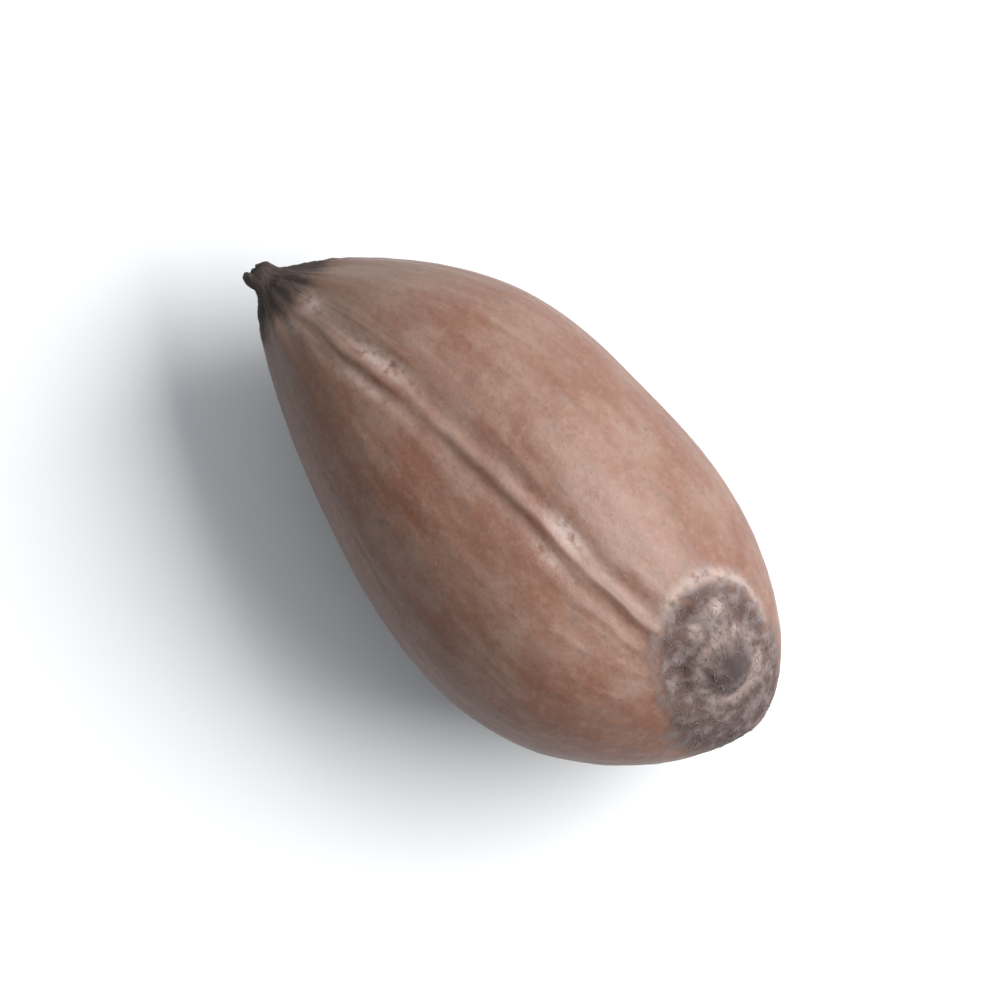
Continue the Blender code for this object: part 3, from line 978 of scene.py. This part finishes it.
def stub_tree(material):
    """Grows short bent fibre stubs, which lie nearly flat, where the scar has crust."""
    tree, sockets = new_tree(
        "fibre_stubs",
        (
            ("Surface", "NodeSocketGeometry"),
            ("Density", "NodeSocketFloat"),
            ("Length", "NodeSocketFloat"),
            ("Radius", "NodeSocketFloat"),
            ("Seed", "NodeSocketInt"),
        ),
        "Stubs",
    )
    given = add_node(tree, "NodeGroupInput").outputs
    crust = add_node(tree, "GeometryNodeInputNamedAttribute", {"data_type": "FLOAT"}, {"Name": "crust"})
    first_crust, full_crust = STUB_CRUST
    inner = add_node(
        tree,
        "ShaderNodeMapRange",
        None,
        {"Value": crust.outputs["Attribute"], "From Min": first_crust, "From Max": full_crust},
    )
    pit = add_node(tree, "GeometryNodeInputNamedAttribute", {"data_type": "FLOAT"}, {"Name": "pit"})
    outside = add_node(
        tree, "ShaderNodeMath", {"operation": "SUBTRACT"}, {0: 1.0, 1: pit.outputs["Attribute"]}
    )
    grown_over = add_node(
        tree,
        "ShaderNodeMath",
        {"operation": "MULTIPLY"},
        {0: inner.outputs["Result"], 1: outside.outputs[0]},
    )
    density = add_node(
        tree,
        "ShaderNodeMath",
        {"operation": "MULTIPLY"},
        {0: grown_over.outputs[0], 1: given["Density"]},
    )
    scattered = add_node(
        tree,
        "GeometryNodeDistributePointsOnFaces",
        None,
        {"Mesh": given["Surface"], "Density": density.outputs[0], "Seed": given["Seed"]},
    )
    reach = add_node(
        tree, "ShaderNodeMath", {"operation": "MULTIPLY"}, {0: given["Length"], 1: STUB_BEND}
    )
    bend = add_node(tree, "ShaderNodeCombineXYZ", None, {"X": reach.outputs[0], "Z": given["Length"]})
    knee = add_node(tree, "ShaderNodeCombineXYZ", None, {"Z": reach.outputs[0]})
    line = add_node(
        tree,
        "GeometryNodeCurveQuadraticBezier",
        None,
        {
            "Resolution": 4,
            "Start": (0.0, 0.0, -STUB_ROOT),
            "Middle": knee.outputs["Vector"],
            "End": bend.outputs["Vector"],
        },
    )
    along = add_node(tree, "GeometryNodeSplineParameter")
    taper = add_node(
        tree,
        "ShaderNodeMapRange",
        None,
        {"Value": along.outputs["Factor"], "To Min": 1.0, "To Max": STUB_TAPER},
    )
    ring = add_node(
        tree, "GeometryNodeCurvePrimitiveCircle", None, {"Resolution": 3, "Radius": given["Radius"]}
    )
    stub = add_node(
        tree,
        "GeometryNodeCurveToMesh",
        None,
        {
            "Curve": line.outputs["Curve"],
            "Profile Curve": ring.outputs["Curve"],
            "Scale": taper.outputs["Result"],
            "Fill Caps": True,
        },
    )
    least_tilt, most_tilt = STUB_TILT
    turn = add_node(
        tree,
        "FunctionNodeRandomValue",
        {"data_type": "FLOAT_VECTOR"},
        {
            "Min": (least_tilt, 0.0, -math.pi),
            "Max": (most_tilt, 0.0, math.pi),
            "Seed": given["Seed"],
        },
    )
    leaning = add_node(
        tree,
        "FunctionNodeRotateRotation",
        {"rotation_space": "LOCAL"},
        {"Rotation": scattered.outputs["Rotation"], "Rotate By": turn.outputs["Value"]},
    )
    size = add_node(tree, "FunctionNodeRandomValue", {"data_type": "FLOAT"}, {"Seed": given["Seed"]})
    # Inputs 2 and 3 and output 1 are the least, the most and the result for a plain number
    size.inputs[2].default_value, size.inputs[3].default_value = STUB_SCALE
    grown = add_node(
        tree,
        "GeometryNodeInstanceOnPoints",
        None,
        {
            "Points": scattered.outputs["Points"],
            "Instance": stub.outputs["Mesh"],
            "Rotation": leaning.outputs["Rotation"],
            "Scale": size.outputs[1],
        },
    )
    end_tree(tree, grown.outputs["Instances"], material, "Stubs")
    return tree, sockets


class COTTONSEED_OT_coat(bpy.types.Operator):
    """Builds the seed itself, with its relief and its coat"""

    bl_idname = "cotton_seed.coat"
    bl_label = "Seed coat"

    def execute(self, context):
        scene = context.scene
        relief = scene.coat_relief
        tree, sockets = relief_tree(seed_coat_material(scene.seed_colours))
        settings = {f"{name} rise": getattr(relief, name) for name in RELIEF_HEIGHTS}
        settings["Seed"] = relief.seed
        smooth = smooth_mesh(scene.seed_shape)
        mesh = grown_mesh(context, "seed_dressed", smooth, tree, sockets, settings)
        seed = bpy.data.objects.new("seed_dressed", mesh)
        scene.collection.objects.link(seed)
        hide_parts("seed")
        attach(seed, "root")
        return {"FINISHED"}


class COTTONSEED_OT_stubs(bpy.types.Operator):
    """Grows the stubs of the last lint fibres round the scar"""

    bl_idname = "cotton_seed.stubs"
    bl_label = "Fibre stubs"

    def execute(self, context):
        scene = context.scene
        sizes = scene.stub_sizes
        tree, sockets = stub_tree(fibre_material(scene.seed_colours))
        settings = {
            "Density": sizes.density / MM**2,
            "Length": sizes.length,
            "Radius": sizes.radius,
            "Seed": sizes.seed,
        }
        surface = bpy.data.objects["seed_dressed"].data.copy()
        mesh = grown_mesh(context, "fibre_stubs", surface, tree, sockets, settings)
        stubs = bpy.data.objects.new("fibre_stubs", mesh)
        scene.collection.objects.link(stubs)
        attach(stubs, "root")
        return {"FINISHED"}


class COTTONSEED_OT_stage(bpy.types.Operator):
    """Lays the pale table, hangs the window light and sets the camera"""

    bl_idname = "cotton_seed.stage"
    bl_label = "Table, light and camera"

    def execute(self, context):
        scene = context.scene
        stage = scene.stage_settings
        add_floor(scene, stage)
        add_daylight(scene, stage)
        add_camera(scene, stage)
        scene.view_settings.view_transform = "Standard"
        return {"FINISHED"}


def add_floor(scene, stage):
    """A plain matt sheet of pale card, at the height that the seed rests on."""
    half = 0.5 * stage.floor_size
    mesh = bpy.data.meshes.new("table")
    mesh.from_pydata(
        [(-half, -half, 0.0), (half, -half, 0.0), (half, half, 0.0), (-half, half, 0.0)],
        [],
        [(0, 1, 2, 3)],
    )
    material = bpy.data.materials.new("pale_card")
    material.use_nodes = True
    shader = material.node_tree.nodes["Principled BSDF"]
    set_inputs(shader, {"Roughness": FLOOR_ROUGHNESS, "Specular IOR Level": FLOOR_SPECULAR})
    set_inputs(shader, {"Base Color": linear_colour(FLOOR_COLOUR)})
    mesh.materials.append(material)
    floor = bpy.data.objects.new("table", mesh)
    scene.collection.objects.link(floor)


def add_daylight(scene, stage):
    """A broad window light from the photograph's upper right, in a plain room.

    The room is brightest overhead and darkest low down on the side away from the window.
    """
    window = bpy.data.lights.new("window", "AREA")
    window.shape = "RECTANGLE"
    window.size, window.size_y = WINDOW_SIZE
    window.energy = stage.daylight
    window.color = WINDOW_COLOUR
    lamp = bpy.data.objects.new("window", window)
    lamp.location = WINDOW_PLACE
    aim = Vector(WINDOW_AIM) - lamp.location
    lamp.rotation_euler = aim.to_track_quat("-Z", "Y").to_euler()
    scene.collection.objects.link(lamp)
    sky = bpy.data.worlds.new("sky")
    sky.use_nodes = True
    background = sky.node_tree.nodes["Background"]
    background.inputs["Color"].default_value = SKY_COLOUR
    side = add_node(sky.node_tree, "ShaderNodeTexCoord").outputs["Generated"]
    towards = add_node(
        sky.node_tree, "ShaderNodeVectorMath", {"operation": "DOT_PRODUCT"}, {0: side, 1: SKY_BRIGHTEST}
    )
    dark_up_to, bright_from = SKY_RANGE
    strength = add_node(
        sky.node_tree,
        "ShaderNodeMapRange",
        None,
        {
            "Value": towards.outputs["Value"],
            "From Min": dark_up_to,
            "From Max": bright_from,
            "To Min": SKY_DARKEST * stage.sky,
            "To Max": stage.sky,
        },
    )
    sky.node_tree.links.new(strength.outputs["Result"], background.inputs["Strength"])
    scene.world = sky


def add_camera(scene, stage):
    """Looks straight down, as the photograph does, turned so that the seed points up and left."""
    camera = bpy.data.cameras.new("camera")
    camera.lens = stage.lens
    camera.sensor_width = SENSOR_WIDTH
    camera.clip_start, camera.clip_end = CLIP_RANGE
    holder = bpy.data.objects.new("camera", camera)
    holder.location = (0.0, 0.0, stage.distance)
    holder.rotation_euler = (0.0, 0.0, stage.turn)
    scene.collection.objects.link(holder)
    scene.camera = holder


class COTTONSEED_PT_panel(bpy.types.Panel):
    """Lists the sizes, the colours and the steps of the build"""

    bl_idname = "COTTONSEED_PT_panel"
    bl_label = "Cotton Seed"
    bl_space_type = "VIEW_3D"
    bl_region_type = "UI"
    bl_category = "Cotton Seed"

    def draw(self, context):
        for group, steps in (
            (context.scene.seed_shape, ()),
            (context.scene.seed_colours, ()),
            (context.scene.coat_relief, ("cotton_seed.coat",)),
            (context.scene.stub_sizes, ("cotton_seed.stubs",)),
            (context.scene.stage_settings, ("cotton_seed.stage",)),
        ):
            box = self.layout.box()
            for name in group.__annotations__:
                box.prop(group, name)
            for step in steps:
                box.operator(step)


CLASSES = (
    SeedShape,
    SeedColours,
    CoatRelief,
    StubSizes,
    StageSettings,
    COTTONSEED_OT_coat,
    COTTONSEED_OT_stubs,
    COTTONSEED_OT_stage,
    COTTONSEED_PT_panel,
)
GROUPS = {
    "seed_shape": SeedShape,
    "seed_colours": SeedColours,
    "coat_relief": CoatRelief,
    "stub_sizes": StubSizes,
    "stage_settings": StageSettings,
}


def register():
    for cls in CLASSES:
        bpy.utils.register_class(cls)
    for name, group in GROUPS.items():
        setattr(bpy.types.Scene, name, bpy.props.PointerProperty(type=group))


def unregister():
    for name in GROUPS:
        delattr(bpy.types.Scene, name)
    for cls in reversed(CLASSES):
        bpy.utils.unregister_class(cls)


def main():
    register()
    bpy.ops.cotton_seed.coat()
    bpy.ops.cotton_seed.stubs()
    bpy.ops.cotton_seed.stage()


if __name__ == "__main__":
    main()
